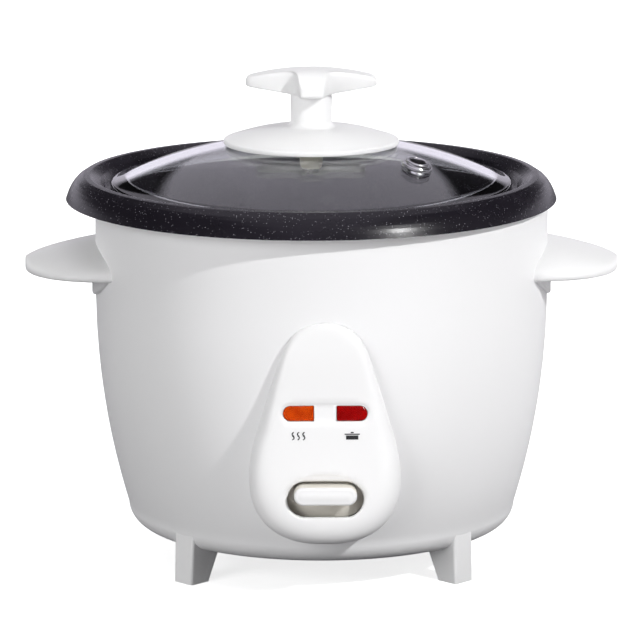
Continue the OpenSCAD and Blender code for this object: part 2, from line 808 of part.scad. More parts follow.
function dome_line(r0, r1, lift, n = 14) = [
    for (i = [0:n]) let (r = r0 + (r1 - r0) * i / n) [r, dome_z(r) + lift]
];

module lid_glass() {
    color("lightcyan", 0.3) at_pot() difference() {
        rotate_extrude() polygon(concat(
            dome_line(5, glass_foot_r, -glass_t, 16),
            [[glass_r - 1.2, glass_edge_z], [glass_r - 0.4, glass_edge_z + 0.4]],
            arc([glass_r - 1.4, glass_edge_z + 1.5], 1.4, 0, 70, 4),
            reversed(dome_line(5, glass_r - 3, 0, 16))
        ));
        at_vent() translate([0, 0, -10]) cylinder(r = vent_tube_r + 0.2, h = 20, $fn = 48);
    }
}

// Places a drawing on the dome at the steam vent, square to the glass.
module at_vent() {
    translate([vent_at[0], vent_at[1], dome_z(norm(vent_at))]) rotate(atan2(vent_at[1], vent_at[0]))
        rotate([0, asin(norm(vent_at) / dome_r), 0]) children();
}

module vent_grommet() {
    color(steel) at_pot() at_vent() rotate_extrude() polygon(concat(
        [[3.4, -glass_t - 0.8], [4.9, -glass_t - 0.8], [4.9, -glass_t - 0.1], [vent_tube_r, -glass_t - 0.1]],
        [[vent_tube_r, 0.2], [6.2, 0.2]],
        arc([5.8, 1.2], 0.7, -20, 90, 5),
        [[5.1, 1.9], [5.1, 2.6]],
        arc([4.6, 2.8], 0.5, 0, 150, 5),
        [[3.4, 2.6]]
    ));
}

module knob_base() {
    rise = dome_top + 4.6;         // top of the disc beside the stem
    color(white) at_pot() difference() {
        rotate_extrude() polygon(concat(
            dome_line(0, disc_r - 0.8, gasket_t + seam, 10),
            arc([disc_r - 1.3, dome_z(disc_r) + 2], 1.3, -50, 80, 6),
            [for (i = [0:8]) let (t = i / 8, r = disc_r - 2 - (disc_r - 14) * t)
                [r, dome_z(disc_r) + 3.3 + (rise - dome_z(disc_r) - 3.3) * (1 - pow(1 - t, 1.6))]],
            arc([stem_r + 3, rise + 3.2], 3, 270, 180, 6),
            [[stem_r - 0.1, stem_top], [0, stem_top]]
        ));
        translate([0, 0, dome_top - 2]) cylinder(r = 2.15, h = 14, $fn = 32);
    }
}

// The grip: a cross bar for the fingers with a shorter thumb lobe at the front and at the back.
module knob_grip() {
    color(white) at_pot() difference() {
        union() {
            hull() {
                translate([0, 0, stem_top]) cylinder(r = stem_r - 0.4, h = 3, $fn = 32);
                for (side = [-1, 1]) for (edge = [-1, 1]) {
                    translate([side * (grip_half_l - 3), edge * 3, 203.6]) cylinder(r = 3, h = 4.2, $fn = 32);
                    translate([side * 8, edge * 4.5, knob_top_z - 3]) cylinder(r = 3.5, h = 1.8, $fn = 32);
                }
                translate([0, 0, knob_top_z - 2]) cylinder(r = 6, h = 2, $fn = 32);
            }
            hull() {
                translate([0, 0, stem_top]) cylinder(r = stem_r - 0.4, h = 3, $fn = 32);
                for (end = [-1, 1]) for (edge = [-1, 1])
                    translate([edge * 2.8, end * 17, stem_top - 0.6]) cylinder(r = 3, h = 4, $fn = 32);
                translate([0, 0, knob_top_z - 4]) cylinder(r = 6, h = 3, $fn = 32);
            }
        }
        translate([0, 0, stem_top - 2]) cylinder(r = stem_r + seam, h = 2);
    }
}

module knob_gasket() {
    color("gainsboro") at_pot() rotate_extrude()
        polygon(concat(dome_line(6, 20, 0, 6), reversed(dome_line(6, 20, gasket_t, 6))));
}

// The moulded nut under the glass, which draws the knob's base down onto the dome.
module knob_nut() {
    color(cream) at_pot() rotate_extrude() polygon(concat(
        [[2.3, dome_top - 14], [3.8, dome_top - 14], [4.5, dome_top - 13.3], [5.2, dome_top - 8.8]],
        arc([9.2, dome_top - 8.8], 4, 170, 120, 4),
        [[13, dome_top - 5.6]],
        reversed(dome_line(4.8, 13, -glass_t - 0.05, 4)),
        [[4.8, dome_top - 0.4], [2.3, dome_top - 0.4]]
    ));
}

module knob_screw() {
    color(steel) at_pot() translate([0, 0, dome_top - 14]) screw(2.1, 24, 3.6, 2);
}

outer_housing();
inner_liner();
base_plate();
foot(225);  // foot_front_left
foot(315);  // foot_front_right
foot(135);  // foot_rear_left
foot(45);  // foot_rear_right
foot_screws();
handle(-1);  // handle_left
handle(1);  // handle_right
handle_screws();
control_panel();
panel_screws();
warm_lens();
cook_lens();
lamp_holder();
neon_lamps();
warm_symbol();
cook_symbol();
heater_plate();
heating_element();
heater_screws();
heater_terminals();
thermostat_guide();
sensor_cap();
sensor_ferrite();
sensor_spring();
magnet_cup();
magnet();
magnet_spring();
lever_bracket();
bracket_rivets();
lever_pin();
cook_lever();
lever_tab();
switch_body();
switch_button();
switch_contacts();
keep_warm_thermostat();
thermal_fuse();
fuse_clamp();
inlet_socket();
inlet_pins();
inlet_screws();
wiring();
inner_pot();
lid_glass();
vent_grommet();
knob_base();
knob_grip();
knob_gasket();
knob_nut();
knob_screw();
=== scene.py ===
"""Looks of the rice cooker: its visible shells, mouldings and glass as finished meshes, and the
materials of every part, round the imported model. Lengths are millimetres until a mesh is made."""

import json
import math

import bmesh
import bpy
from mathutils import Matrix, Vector, geometry


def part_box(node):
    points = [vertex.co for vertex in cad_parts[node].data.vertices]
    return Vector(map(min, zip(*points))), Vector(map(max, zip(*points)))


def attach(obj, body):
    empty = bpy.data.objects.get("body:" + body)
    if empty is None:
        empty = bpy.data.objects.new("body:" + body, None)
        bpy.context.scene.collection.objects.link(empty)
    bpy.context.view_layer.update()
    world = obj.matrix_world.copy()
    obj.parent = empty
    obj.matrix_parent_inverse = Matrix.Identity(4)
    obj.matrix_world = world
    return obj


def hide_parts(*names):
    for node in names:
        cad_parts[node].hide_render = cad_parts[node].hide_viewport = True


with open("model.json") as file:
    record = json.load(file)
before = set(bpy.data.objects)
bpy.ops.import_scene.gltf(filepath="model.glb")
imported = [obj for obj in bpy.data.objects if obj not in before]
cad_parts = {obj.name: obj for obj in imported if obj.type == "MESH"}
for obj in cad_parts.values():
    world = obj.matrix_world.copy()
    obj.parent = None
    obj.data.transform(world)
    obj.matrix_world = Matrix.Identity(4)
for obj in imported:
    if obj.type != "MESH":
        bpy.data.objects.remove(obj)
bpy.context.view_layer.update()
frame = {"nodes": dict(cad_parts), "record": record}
nodes = frame["nodes"]
MM = 0.001
TAU = 2 * math.pi


def box_mm(node):
    """Lowest and highest corner of a CAD node at rest, in millimetres."""
    return tuple(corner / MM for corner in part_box(node))


# ---- Sizes that the CAD part and these pieces share ----

HOUSING_LOW, HOUSING_HIGH = box_mm("outer_housing")
POT_LOW, POT_HIGH = box_mm("inner_pot")
GRIP_LOW, GRIP_HIGH = box_mm("knob_grip")
TAB_LOW, TAB_HIGH = box_mm("lever_tab")

HOUSING_R = HOUSING_HIGH.x
HOUSING_BOTTOM, HOUSING_TOP = HOUSING_LOW.z, HOUSING_HIGH.z
SHOULDER_Z = 115
BELLY_R = 322
SHEET = 1.0
CORNER_R = 9
EDGE_R = 2
LIP_R = 70
POT_X = (POT_LOW.x + POT_HIGH.x) / 2
SKIRT_R = (POT_HIGH.x - POT_LOW.x) / 2
RIDGE_Z = POT_HIGH.z
GLASS_R = 86
GLASS_T = 4
GLASS_EDGE_Z = 160.3
DOME_RISE = 19.5
DOME_TOP = GLASS_EDGE_Z + 1.2 + DOME_RISE
DOME_R = (GLASS_R ** 2 + DOME_RISE ** 2) / (2 * DOME_RISE)
VENT = Vector((43.7, -34, 0))
STEM_R = 8.9
STEM_TOP = box_mm("knob_base")[1].z
SLOT_Z = 47.1
SLOT_HALF_W, SLOT_HALF_H = 15.7, 7.4
SHIELD_Z = (TAB_LOW.z + TAB_HIGH.z) / 2
SHIELD_HALF_W, SHIELD_HALF_H = (TAB_HIGH.x - TAB_LOW.x) / 2, (TAB_HIGH.z - TAB_LOW.z) / 2
SHIELD_Y = -96.3
SHIELD_T = 1.2
SHIELD_CORNER_R = 9
TAB_HALF_W, TAB_HALF_H, TAB_Z = 12.9, 3.75, 49.3
PANEL_Y = 104
PANEL_TILT = math.radians(5)
PANEL_WALL = 2.4
LAMP_Z = 82.8
LAMP_GAP, LENS_W, LENS_H = 9.6, 12.4, 6
LENS_GAP = 0.28
HANDLE_Z = 125
HANDLE_TIP = 127.2
HANDLE_HALF_W = 39


# ---- Outlines ----

def arc(centre, radius, start, end, steps):
    """Points round centre from one angle to another, in degrees."""
    turns = [math.radians(start + (end - start) * i / steps) for i in range(steps + 1)]
    return [(centre[0] + radius * math.cos(t), centre[1] + radius * math.sin(t)) for t in turns]


def rounded(corners, steps=5):
    """A line through corners of (x, y, radius), with a round of that radius at each inner corner."""
    line = [corners[0][:2]]
    for before, here, after in zip(corners, corners[1:], corners[2:]):
        point = Vector(here[:2])
        back, ahead = Vector(before[:2]) - point, Vector(after[:2]) - point
        half = back.angle(ahead) / 2
        reach = here[2] / math.tan(half) if here[2] else 0
        reach = min(reach, back.length * 0.49, ahead.length * 0.49)
        if reach < 1e-4 or half > 1.55:
            line.append(tuple(point))
            continue
        start, end = point + back.normalized() * reach, point + ahead.normalized() * reach
        middle = point + (back.normalized() + ahead.normalized()).normalized() * reach / math.cos(half)
        radius = (start - middle).length
        for i in range(steps + 1):
            mix = start.lerp(end, i / steps) - middle
            line.append(tuple(middle + mix.normalized() * radius))
    line.append(corners[-1][:2])
    return line


def beside(line, shift):
    """A line moved to the left of its own direction."""
    moved = []
    for i, point in enumerate(line):
        ahead = Vector(line[min(i + 1, len(line) - 1)]) - Vector(line[max(i - 1, 0)])
        ahead.normalize()
        moved.append((point[0] - shift * ahead.y, point[1] + shift * ahead.x))
    return moved


def stadium(half_w, half_h, grow=0.0, count=64, centre=(0, 0)):
    """Points round a slot with round ends, evenly spaced."""
    radius, straight = half_h + grow, half_w - half_h
    total = 4 * straight + TAU * radius
    points = []
    for i in range(count):
        along = total * i / count
        for side, offset in ((1, 0), (-1, total / 2)):
            part = along - offset
            if 0 <= part < total / 2:
                if part < math.pi * radius:
                    turn = part / radius - math.pi / 2
                    spot = (side * (straight + radius * math.cos(turn)), side * radius * math.sin(turn))
                else:
                    spot = (side * (straight - (part - math.pi * radius)), side * radius)
                points.append((centre[0] + spot[0], centre[1] + spot[1]))
    return points


# ---- Meshes ----

def piece(name, verts, faces, sharp=35, scale=MM):
    """A smooth-shaded object from vertices in millimetres, with edges over the sharp angle kept crisp."""
    mesh = bpy.data.meshes.new(name)
    mesh.from_pydata([Vector(v) * scale for v in verts], [], faces)
    edit = bmesh.new()
    edit.from_mesh(mesh)
    bmesh.ops.remove_doubles(edit, verts=edit.verts, dist=1e-7)
    bmesh.ops.recalc_face_normals(edit, faces=edit.faces)
    edit.to_mesh(mesh)
    edit.free()
    mesh.shade_smooth()
    mesh.set_sharp_from_angle(angle=math.radians(sharp))
    obj = bpy.data.objects.new(name, mesh)
    bpy.context.scene.collection.objects.link(obj)
    return obj


def spin(line, centre=(0, 0), steps=192, closed=True):
    """Vertices and faces of a line of (radius, height) turned round an upright axis."""
    verts, faces, rings = [], [], []
    for radius, height in line:
        if radius < 1e-6:
            rings.append([len(verts)] * steps)
            verts.append((centre[0], centre[1], height))
            continue
        rings.append(list(range(len(verts), len(verts) + steps)))
        for k in range(steps):
            turn = TAU * k / steps
            verts.append((centre[0] + radius * math.cos(turn), centre[1] + radius * math.sin(turn), height))
    pairs = list(zip(rings, rings[1:])) + ([(rings[-1], rings[0])] if closed else [])
    for low, high in pairs:
        for k in range(steps):
            corners = [low[k], low[(k + 1) % steps], high[(k + 1) % steps], high[k]]
            unique = list(dict.fromkeys(corners))
            if len(unique) > 2:
                faces.append(unique)
    return verts, faces


def loft(rings, cap_start=True, cap_end=True):
    """Vertices and faces of a skin over rings that hold the same number of points."""
    count = len(rings[0])
    verts = [point for ring in rings for point in ring]
    faces = []
    for r in range(len(rings) - 1):
        for k in range(count):
            a, b = r * count + k, r * count + (k + 1) % count
            faces.append([a, b, b + count, a + count])
    if cap_start:
        faces.append(list(range(count))[::-1])
    if cap_end:
        faces.append([(len(rings) - 1) * count + k for k in range(count)])
    return verts, faces


def cut(obj, cutter):
    """Takes the cutter's form out of obj, and removes the cutter."""
    change = obj.modifiers.new("cut", "BOOLEAN")
    change.object, change.operation, change.solver = cutter, "DIFFERENCE", "EXACT"
    result = bpy.data.meshes.new_from_object(obj.evaluated_get(bpy.context.evaluated_depsgraph_get()))
    obj.modifiers.clear()
    obj.data = result
    bpy.data.objects.remove(cutter)
    result.shade_smooth()
    result.set_sharp_from_angle(angle=math.radians(35))


def block(low, high, corner_r=1.5):
    """A box with rounded corners in x and z, as a cutter along y."""
    outline = []
    middle = [(low[i] + high[i]) / 2 for i in (0, 2)]
    half = [(high[i] - low[i]) / 2 - corner_r for i in (0, 2)]
    for start, sx, sz in ((0, 1, 1), (90, -1, 1), (180, -1, -1), (270, 1, -1)):
        outline += arc((middle[0] + sx * half[0], middle[1] + sz * half[1]), corner_r, start, start + 90, 5)
    return piece("cutter", *loft([[(x, y, z) for x, z in outline] for y in (low[1], high[1])]))


# ---- Materials ----

class Shader:
    """A material's node tree, with the Principled shader's sockets by name."""

    def __init__(self, name):
        self.material = bpy.data.materials.new(name)
        self.material.use_nodes = True
        self.tree = self.material.node_tree
        self.bsdf = self.tree.nodes["Principled BSDF"]
        self.place = self.node("ShaderNodeTexCoord").outputs["Object"]

    def node(self, kind, **values):
        node = self.tree.nodes.new(kind)
        for key, value in values.items():
            if hasattr(node, key) and key not in node.inputs:
                setattr(node, key, value)
            else:
                node.inputs[key].default_value = value
        return node

    def link(self, output, socket):
        self.tree.links.new(output, socket)

    def set(self, **values):
        for key, value in values.items():
            self.bsdf.inputs[key.replace("_", " ")].default_value = value

    def noise(self, size, detail=4):
        """A noise whose lumps are about size millimetres across."""
        texture = self.node("ShaderNodeTexNoise", Scale=0.5 / (size * MM), Detail=detail, Roughness=0.55)
        self.link(self.place, texture.inputs["Vector"])
        return texture.outputs["Fac"]

    def spread(self, value, low, high, floor=0.3, ceiling=0.7):
        """A value moved from floor..ceiling to low..high."""
        ranged = self.node("ShaderNodeMapRange")
        for key, number in (("From Min", floor), ("From Max", ceiling), ("To Min", low), ("To Max", high)):
            ranged.inputs[key].default_value = number
        self.link(value, ranged.inputs["Value"])
        return ranged.outputs["Result"]

    def mix(self, factor, first, second):
        """A colour between two, each of them a colour or a socket."""
        mixer = self.node("ShaderNodeMix", data_type="RGBA")
        self.link(factor, mixer.inputs["Factor"])
        for socket, colour in (("A", first), ("B", second)):
            target = [s for s in mixer.inputs if s.name == socket and s.type == "RGBA"][0]
            if isinstance(colour, tuple):
                target.default_value = (*colour, 1)
            else:
                self.link(colour, target)
        return [s for s in mixer.outputs if s.type == "RGBA"][0]

    def bump(self, height, depth, strength=1.0):
        """Relief of about depth millimetres, laid over any relief already there."""
        bump = self.node("ShaderNodeBump", Strength=strength, Distance=depth * MM)
        self.link(height, bump.inputs["Height"])
        socket = self.bsdf.inputs["Normal"]
        if socket.links:
            self.link(socket.links[0].from_socket, bump.inputs["Normal"])
        self.link(bump.outputs["Normal"], socket)

    def colour(self, output):
        self.link(output, self.bsdf.inputs["Base Color"])

    def roughness(self, output):
        self.link(output, self.bsdf.inputs["Roughness"])


def plastic(name, light, dark, rough, grain=0.35, relief=0.012, **sockets):
    """Moulded plastic or paint: a faint cloudiness, a fine skin, and gloss that varies a little."""
    shader = Shader(name)
    shader.colour(shader.mix(shader.spread(shader.noise(26), 0, 1), light, dark))
    shader.roughness(shader.spread(shader.noise(9), rough * 0.96, rough * 1.04))
    shader.bump(shader.noise(grain, 2), relief)
    shader.set(**sockets)
    return shader.material


def metal(name, light, dark, rough):
    """Bare or plated metal with a fine skin and slight tarnish."""
    shader = Shader(name)
    shader.colour(shader.mix(shader.spread(shader.noise(7), 0, 1), light, dark))
    shader.roughness(shader.spread(shader.noise(3, 5), rough * 0.75, rough * 1.3))
    shader.bump(shader.noise(0.6, 3), 0.006)
    shader.set(Metallic=1.0)
    return shader.material


def turned_metal(name, light, dark, rough, pitch, relief):
    """Metal turned on a lathe round the upright axis, with fine grooves."""
    shader = Shader(name)
    flat = shader.node("ShaderNodeVectorMath", operation="MULTIPLY")
    flat.inputs[1].default_value = (1, 1, 0)
    shader.link(shader.place, flat.inputs[0])
    distance = shader.node("ShaderNodeVectorMath", operation="LENGTH")
    shader.link(flat.outputs["Vector"], distance.inputs[0])
    groove = shader.node("ShaderNodeTexNoise", noise_dimensions="1D", Scale=1 / (pitch * MM), Detail=3)
    shader.link(distance.outputs["Value"], groove.inputs["W"])
    shader.colour(shader.mix(shader.spread(groove.outputs["Fac"], 0, 1), light, dark))
    shader.roughness(shader.spread(shader.noise(5), rough * 0.8, rough * 1.25))
    shader.bump(groove.outputs["Fac"], relief)
    shader.set(Metallic=1.0)
    return shader.material


def nonstick(name):
    """Charcoal non-stick coating with fine pale specks of mica, and a slight orange-peel skin."""
    shader = Shader(name)
    cells = shader.node("ShaderNodeTexVoronoi", Scale=1 / (0.58 * MM))
    shader.link(shader.place, cells.inputs["Vector"])
    near = shader.spread(cells.outputs["Distance"], 1, 0, 0.20, 0.34)
    pick = shader.node("ShaderNodeSeparateColor")
    shader.link(cells.outputs["Color"], pick.inputs["Color"])
    chosen = shader.spread(pick.outputs["Red"], 0, 1, 0.84, 1.0)
    speck = shader.node("ShaderNodeMath", operation="MULTIPLY")
    shader.link(near, speck.inputs[0])
    shader.link(chosen, speck.inputs[1])
    cloud = shader.spread(shader.noise(18), 0, 1)
    ground = shader.mix(cloud, (0.008, 0.007, 0.010), (0.013, 0.011, 0.016))
    shader.colour(shader.mix(speck.outputs["Value"], ground, (0.36, 0.35, 0.39)))
    shader.roughness(shader.spread(shader.noise(6), 0.25, 0.28))
    shader.bump(shader.noise(0.7, 3), 0.03, 0.8)
    shader.bump(speck.outputs["Value"], 0.02)
    shader.set(Specular_IOR_Level=0.24)
    return shader.material


def glass(name, tint, rough, ior, waviness):
    """Clear pressed glass, very slightly uneven."""
    shader = Shader(name)
    deeper = tuple(c * 0.985 for c in tint)
    shader.colour(shader.mix(shader.spread(shader.noise(40), 0, 1), tint, deeper))
    shader.roughness(shader.spread(shader.noise(14), rough, rough * 1.6))
    shader.bump(shader.noise(22, 2), waviness)
    shader.set(Transmission_Weight=1.0, IOR=ior)
    return shader.material


def lens_plastic(name, light, dark):
    """Coloured clear plastic, its colour a little deeper in patches at random."""
    shader = Shader(name)
    shader.colour(shader.mix(shader.spread(shader.noise(2.5), 0, 1), light, dark))
    shader.roughness(shader.spread(shader.noise(2), 0.08, 0.16))
    shader.bump(shader.noise(0.5, 2), 0.004)
    shader.set(Transmission_Weight=0.08, IOR=1.49, Specular_IOR_Level=0.2)
    return shader.material


def striped(name, light, dark, pitch, relief, rough):
    """Fibre sleeving or cast stock: fine diagonal texture."""
    shader = Shader(name)
    wave = shader.node("ShaderNodeTexWave", Scale=0.3 / (pitch * MM), Distortion=1.5, Detail=2)
    wave.wave_type, wave.bands_direction = "BANDS", "DIAGONAL"
    shader.link(shader.place, wave.inputs["Vector"])
    shader.colour(shader.mix(wave.outputs["Fac"], light, dark))
    shader.roughness(shader.spread(shader.noise(4), rough * 0.85, rough * 1.15))
    shader.bump(wave.outputs["Fac"], relief)
    return shader.material


WHITE, WHITE_DEEP = (0.855, 0.855, 0.860), (0.852, 0.852, 0.858)
SLOTS = {
    "white_enamel": plastic("paint_white", WHITE, WHITE_DEEP, 0.40, 1.1, 0.006),
    "white_plastic": plastic("plastic_white", (0.860, 0.860, 0.862), (0.852, 0.851, 0.854),
                             0.38, 0.45, 0.012),
    "aluminised_steel": metal("steel_aluminised", (0.60, 0.61, 0.62), (0.50, 0.51, 0.52), 0.38),
    "nonstick_aluminium": nonstick("coating_nonstick"),
    "clear_glass": glass("glass_clear", (0.965, 0.985, 0.98), 0.012, 1.5, 0.01),
    "stainless": metal("steel_stainless", (0.66, 0.66, 0.67), (0.56, 0.56, 0.57), 0.22),
    "clear_silicone": plastic("silicone_clear", (0.82, 0.83, 0.84), (0.76, 0.77, 0.78), 0.45, 0.6, 0.02,
                              Transmission_Weight=0.7, IOR=1.41),
    "cream_plastic": plastic("plastic_cream", (0.74, 0.70, 0.58), (0.69, 0.65, 0.53), 0.42),
    "amber_lens": lens_plastic("lens_amber", (0.74, 0.085, 0.003), (0.52, 0.042, 0.001)),
    "red_lens": lens_plastic("lens_red", (0.40, 0.002, 0.002), (0.26, 0.001, 0.001)),
    "lamp_glass": plastic("glass_lamp", (0.86, 0.80, 0.70), (0.80, 0.72, 0.60), 0.12,
                          Transmission_Weight=0.5),
    "print_ink": plastic("ink_black", (0.012, 0.012, 0.014), (0.022, 0.022, 0.024), 0.55, 0.25, 0.01),
    "cast_aluminium": turned_metal("aluminium_turned", (0.62, 0.62, 0.63), (0.50, 0.50, 0.51),
                                   0.34, 0.9, 0.02),
    "element_sheath": metal("sheath_oxidised", (0.16, 0.15, 0.14), (0.09, 0.085, 0.08), 0.5),
    "brass_tabs": metal("brass", (0.72, 0.53, 0.24), (0.60, 0.42, 0.17), 0.28),
    "ferrite": plastic("ferrite_grey", (0.055, 0.055, 0.058), (0.035, 0.035, 0.038), 0.6, 0.4, 0.03),
    "magnet_iron": metal("magnet_nickel", (0.48, 0.48, 0.49), (0.38, 0.38, 0.39), 0.35),
    "switch_plastic": plastic("plastic_switch", (0.028, 0.028, 0.030), (0.018, 0.018, 0.020), 0.48),
    "button_red": plastic("plastic_red", (0.42, 0.025, 0.018), (0.34, 0.018, 0.014), 0.4),
    "ceramic_body": plastic("ceramic_pale", (0.66, 0.61, 0.50), (0.58, 0.53, 0.42), 0.62, 0.5, 0.04),
    "black_plastic": plastic("plastic_black", (0.020, 0.020, 0.021), (0.013, 0.013, 0.014), 0.42, 0.5, 0.02),
    "nickel_pins": metal("nickel", (0.70, 0.69, 0.66), (0.60, 0.59, 0.56), 0.2),
    "wire_sleeve": striped("sleeve_woven", (0.70, 0.68, 0.62), (0.50, 0.48, 0.42), 0.7, 0.08, 0.75),
    "zinc_steel": metal("zinc_plated", (0.62, 0.64, 0.66), (0.50, 0.52, 0.55), 0.30),
}
# Painted shade: a darker cream-white that stands in for the shade inside the lever's slot, on the tab's
# sides and the white shield behind it.
painted_shade_white = plastic("plastic_painted_shade", (0.80, 0.765, 0.69), (0.78, 0.745, 0.67), 0.45)
bare_edge = metal("aluminium_cut", (0.80, 0.80, 0.82), (0.66, 0.66, 0.68), 0.28)

for row in frame["record"]["subparts"]:
    part = nodes[row["node"]]
    part.data.materials.clear()
    part.data.materials.append(SLOTS[row["material_slot"]])


def hand_over(obj, body, slot, *stands_for):
    """Hands a piece over: its body, its record slot, the CAD nodes it shows, and its material."""
    obj.data.materials.clear()
    obj.data.materials.append(SLOTS[slot])
    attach(obj, body)
    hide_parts(*stands_for)
    return obj


# ---- Housing ----

def wall_r(z):
    """Outer radius of the housing at a height above its bottom corner."""
    if z >= SHOULDER_Z:
        return HOUSING_R
    return HOUSING_R - (BELLY_R - math.sqrt(BELLY_R ** 2 - (SHOULDER_Z - z) ** 2))


# Openings of the housing: lever slot, lamps and appliance inlet, from low to high corner.
OPENINGS = [((-15, -120, 30), (15, -60, 56)), ((-18.5, -120, 76.3), (18.5, -60, 89.3)),
            ((-14.5, 60, 29.5), (14.5, 120, 50.5))]


def housing():
    """The painted shell: rolled lip, round corner, bellied side, straight top and folded edge."""
    corner_z = HOUSING_BOTTOM + CORNER_R
    belly = [corner_z + (SHOULDER_Z - corner_z) * i / 40 for i in range(41)]
    outer = [(LIP_R, HOUSING_BOTTOM)]
    outer += arc((wall_r(corner_z) - CORNER_R, corner_z), CORNER_R, -90, -8, 16)
    outer += [(wall_r(z), z) for z in belly]
    straight = HOUSING_TOP - EDGE_R - SHOULDER_Z
    outer += [(HOUSING_R, SHOULDER_Z + straight * i / 8) for i in range(1, 8)]
    outer += arc((HOUSING_R - EDGE_R, HOUSING_TOP - EDGE_R), EDGE_R, 0, 90, 10)
    outer += [(HOUSING_R - 5.5, HOUSING_TOP)]
    line = outer + beside(outer, SHEET)[::-1]
    shell = piece("housing_shell", *spin(line, steps=240))
    for low, high in OPENINGS:
        cut(shell, block(low, high))
    hand_over(shell, "base", "white_enamel", "outer_housing")


housing()


# ---- Pot ----

POT_WALL_R = 82.3
POT_FLOOR_Z = 59.2
POT_LEDGE_Z = 160
POT_SHEET = 1.2


def pot():
    """The pot: flat floor, upright wall, a ledge for the glass, and a ridge over a sloping skirt."""
    ridge_r, crest_z = SKIRT_R - 8.8, RIDGE_Z - 0.3
    start = ridge_r + 1.2
    upper = [(0, POT_FLOOR_Z, 0), (40, POT_FLOOR_Z, 0), (POT_WALL_R, POT_FLOOR_Z, 15),
             (POT_WALL_R, POT_LEDGE_Z, 1.6), (88.0, POT_LEDGE_Z, 1.0), (90.2, 162.9, 1.2),
             (ridge_r - 1.6, RIDGE_Z - 0.1, 1.6), (start, crest_z, 1.4)]
    skirt = []
    for t in (0.3, 0.45, 0.6, 0.72, 0.83, 0.92, 1.0):
        bulge = 0.95 * math.sin(math.pi * t)
        skirt.append((start + (SKIRT_R - start) * t + bulge, crest_z - 10.1 * t ** 1.35, 3))
    inner = rounded(upper + skirt, 8)
    outer = beside(inner, -POT_SHEET)
    outer[0] = (0, outer[0][1])
    tip, under = Vector(inner[-1]), Vector(outer[-1])
    edge = [tip.lerp(under, t) - Vector((inset, 0)) for t, inset in ((0.12, 0.1), (0.5, 0), (0.88, 0.1))]
    line = inner + [tuple(point) for point in edge] + outer[::-1]
    shell = piece("pot_shell", *spin(line, (POT_X, 0), 240, closed=False), sharp=50)
    hand_over(shell, "pot", "nonstick_aluminium", "inner_pot")
    shell.data.materials.append(bare_edge)
    for face in shell.data.polygons:
        centre = face.center / MM
        radius = math.hypot(centre.x - POT_X, centre.y)
        if radius > SKIRT_R - 1.6 and centre.z < tip.y + 0.05 and face.normal.z < -0.4:
            face.material_index = 1


pot()


# ---- Lid ----

def dome_z(r):
    """Height of the glass's upper face at a distance from its middle."""
    return DOME_TOP - (DOME_R - math.sqrt(DOME_R ** 2 - r * r))


def dome_line(start, end, lift, count=24):
    """A line that follows the glass from one radius to another, lifted off it."""
    radii = [start + (end - start) * i / count for i in range(count + 1)]
    return [(r, dome_z(r) + lift) for r in radii]


def at_vent(point):
    """A point given square to the glass at the vent, in the part's frame."""
    distance = VENT.length
    lean, turn = math.asin(distance / DOME_R), math.atan2(VENT.y, VENT.x)
    x = point[0] * math.cos(lean) + point[2] * math.sin(lean)
    z = -point[0] * math.sin(lean) + point[2] * math.cos(lean)
    x += distance
    return (POT_X + x * math.cos(turn) - point[1] * math.sin(turn),
            x * math.sin(turn) + point[1] * math.cos(turn), dome_z(distance) + z)


def lid():
    """The glass: a dome with a rounded rim, and a hole for the vent."""
    foot_r = math.sqrt(DOME_R ** 2 - (DOME_R - DOME_TOP + GLASS_T + GLASS_EDGE_Z) ** 2)
    top = dome_line(GLASS_R - 2.2, 5, 0)
    under = dome_line(5, foot_r, -GLASS_T)
    rim = rounded([(*under[-1], 0), (GLASS_R, GLASS_EDGE_Z, 1.4), (GLASS_R, GLASS_EDGE_Z + 2.2, 1.3),
                   (*top[0], 0)], 7)
    dome = piece("lid_dome", *spin(under[:-1] + rim + top[1:], (POT_X, 0), 200), sharp=50)
    around = 48
    hole = [at_vent(p) for p in spin([(4.3, -12), (4.3, 12)], steps=around, closed=False)[0]]
    cut(dome, piece("cutter", *loft([hole[:around], hole[around:]])))
    dome.visible_shadow = False
    hand_over(dome, "lid", "clear_glass", "lid_glass")


def vent():
    """The steam eyelet: a bore with a curl under the glass, a wide collar and a narrow neck above."""
    bore, barrel, curl, neck, collar = 3.4, 4.1, 4.9, 5.1, 6.5
    curl_z, glass_z = -GLASS_T - 0.8, -GLASS_T - 0.1
    line = rounded([(bore, 0, 0), (bore, curl_z, 0.3), (curl, curl_z, 0.3), (curl, glass_z, 0),
                    (barrel, glass_z, 0), (barrel, 0.15, 0), (collar, 0.15, 0.3), (collar, 1.9, 0.9),
                    (neck, 1.9, 0.25), (neck, 3.2, 0.5), (bore, 3.2, 0.5), (bore, 0, 0)], 5)
    verts, faces = spin(line, steps=72, closed=False)
    hand_over(piece("vent_eyelet", [at_vent(v) for v in verts], faces), "lid", "stainless", "vent_grommet")


def knob_disc():
    """The knob's base: a shallow dish on the glass that sweeps up into the stem."""
    disc_r, bore, hollow_top = 37.5, 6, DOME_TOP + 6
    edge_z = dome_z(disc_r)
    low, rise = edge_z + 3.3, DOME_TOP + 4.6
    steps = 14
    slope = []
    for i in range(steps + 1):
        t = i / steps
        slope.append((35.9 - 21.6 * t, low + (rise - low) * (1 - (1 - t) ** 1.6)))
    line = dome_line(bore, disc_r - 0.9, 0.62, 14)
    rim = [(*line[-1], 0), (disc_r, edge_z + 1.0, 0.7), (disc_r, edge_z + 3.0, 1.5), (*slope[0], 0)]
    stem = [(*slope[-1], 0), (STEM_R, rise, 3.2), (STEM_R, STEM_TOP, 0.1), (0, STEM_TOP, 0)]
    line += rounded(rim, 7)[1:-1] + slope[:-1] + rounded(stem, 8)
    line += [(0, hollow_top), (bore, hollow_top)]
    disc = piece("knob_disc", *spin(line, (POT_X, 0), 160))
    hand_over(disc, "lid", "white_plastic", "knob_base")


